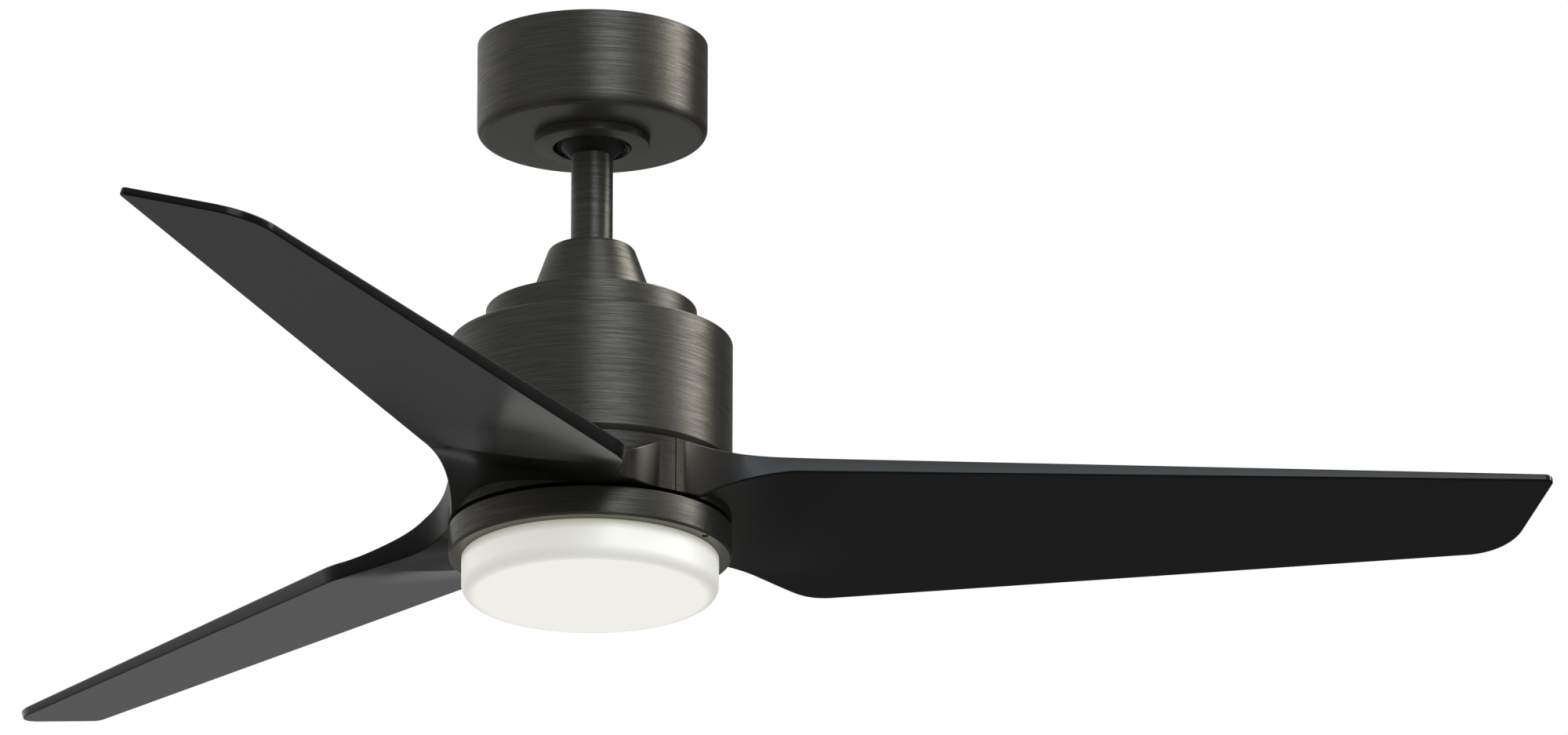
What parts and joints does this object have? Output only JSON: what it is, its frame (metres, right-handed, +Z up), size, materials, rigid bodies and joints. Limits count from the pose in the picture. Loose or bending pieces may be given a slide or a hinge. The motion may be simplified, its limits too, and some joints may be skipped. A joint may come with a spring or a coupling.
{
  "type": "ceiling fan with light",
  "caption": "Downrod ceiling fan with moulded blades whose roots wrap the hub, an outer-rotor motor in a drum housing, and an opal drum lamp below.",
  "frame": {"origin": "on the fan's vertical axis, in the ceiling plane at the top face of the hanger bracket", "axes": "+Z up to the ceiling, +Y away from the viewer of the picture, +X to the viewer's right"},
  "size_m": [1.0566, 1.1587, 0.3988],
  "materials": {
    "brushed_bronze": "brushed, dark bronze plating",
    "black_moulded_plastic": "fine matte",
    "zinc_plated_steel": "zinc plated",
    "bright_steel": "ground",
    "cast_metal": "as cast",
    "cast_aluminium": "as cast",
    "liner_nylon": "matte",
    "white_plastic": "matte",
    "core_steel": "laminated",
    "copper_winding": "enamelled wire",
    "ferrite": "matte",
    "light_board": "white solder mask",
    "opal": "opal white, glossy"
  },
  "bodies": {
    "ceiling_mount": {"hanger_bracket": "zinc_plated_steel", "canopy": "brushed_bronze", "canopy_trim_ring": "brushed_bronze", "receiver_box": "white_plastic", "canopy_screw_1": "zinc_plated_steel", "canopy_screw_2": "zinc_plated_steel"},
    "ball_seat": {"ball_liner": "liner_nylon"},
    "hanging": {"hanger_ball": "cast_metal", "ball_cross_pin": "bright_steel", "ball_set_screw": "bright_steel", "downrod": "brushed_bronze", "motor_coupling": "cast_metal", "clevis_pin": "bright_steel", "hairpin_clip": "bright_steel", "coupling_set_screw_1": "bright_steel", "coupling_set_screw_2": "bright_steel", "coupling_screw_1": "zinc_plated_steel", "coupling_screw_2": "zinc_plated_steel", "coupling_screw_3": "zinc_plated_steel", "top_cover": "brushed_bronze", "motor_housing": "brushed_bronze", "motor_frame": "cast_aluminium", "motor_shaft": "bright_steel", "stator_core": "core_steel", "winding_upper": "copper_winding", "winding_lower": "copper_winding", "bearing_upper": "bright_steel", "bearing_lower": "bright_steel", "light_mount": "cast_aluminium", "light_ring": "brushed_bronze", "light_ring_screw_1": "zinc_plated_steel", "light_ring_screw_2": "zinc_plated_steel", "light_ring_screw_3": "zinc_plated_steel", "led_plate": "cast_aluminium", "led_board": "light_board", "led_driver": "white_plastic"},
    "rod_cover": {"coupling_cover": "brushed_bronze"},
    "rotor": {"rotor_upper": "cast_aluminium", "rotor_lower": "cast_aluminium", "magnet_ring": "ferrite", "rotor_screw_1": "zinc_plated_steel", "rotor_screw_2": "zinc_plated_steel", "rotor_screw_3": "zinc_plated_steel", "blade_hub": "cast_aluminium", "blade_1": "black_moulded_plastic", "blade_2": "black_moulded_plastic", "blade_3": "black_moulded_plastic", "blade_screw_1": "zinc_plated_steel", "blade_screw_2": "zinc_plated_steel", "blade_screw_3": "zinc_plated_steel", "blade_screw_4": "zinc_plated_steel", "blade_screw_5": "zinc_plated_steel", "blade_screw_6": "zinc_plated_steel"},
    "diffuser": {"opal_diffuser": "opal"}
  },
  "joints": [
    {"name": "tilt_fore", "type": "hinge", "parent": "ceiling_mount", "child": "ball_seat", "pos_m": [0, 0, -0.0588], "axis": [1, 0, 0], "range_deg": [-15, 15]},
    {"name": "tilt_side", "type": "hinge", "parent": "ball_seat", "child": "hanging", "pos_m": [0, 0, -0.0588], "axis": [0, 1, 0], "range_deg": [-15, 15]},
    {"name": "fan_spin", "type": "hinge", "parent": "hanging", "child": "rotor", "pos_m": [0, 0, -0.26], "axis": [0, 0, 1], "continuous": true},
    {"name": "cover_slide", "type": "slide", "parent": "hanging", "child": "rod_cover", "axis": [0, 0, 1], "range_m": [0, 0.05]},
    {"name": "diffuser_twist", "type": "hinge", "parent": "hanging", "child": "diffuser", "pos_m": [0, 0, -0.3714], "axis": [0, 0, 1], "range_deg": [-24, 0]}
  ]
}
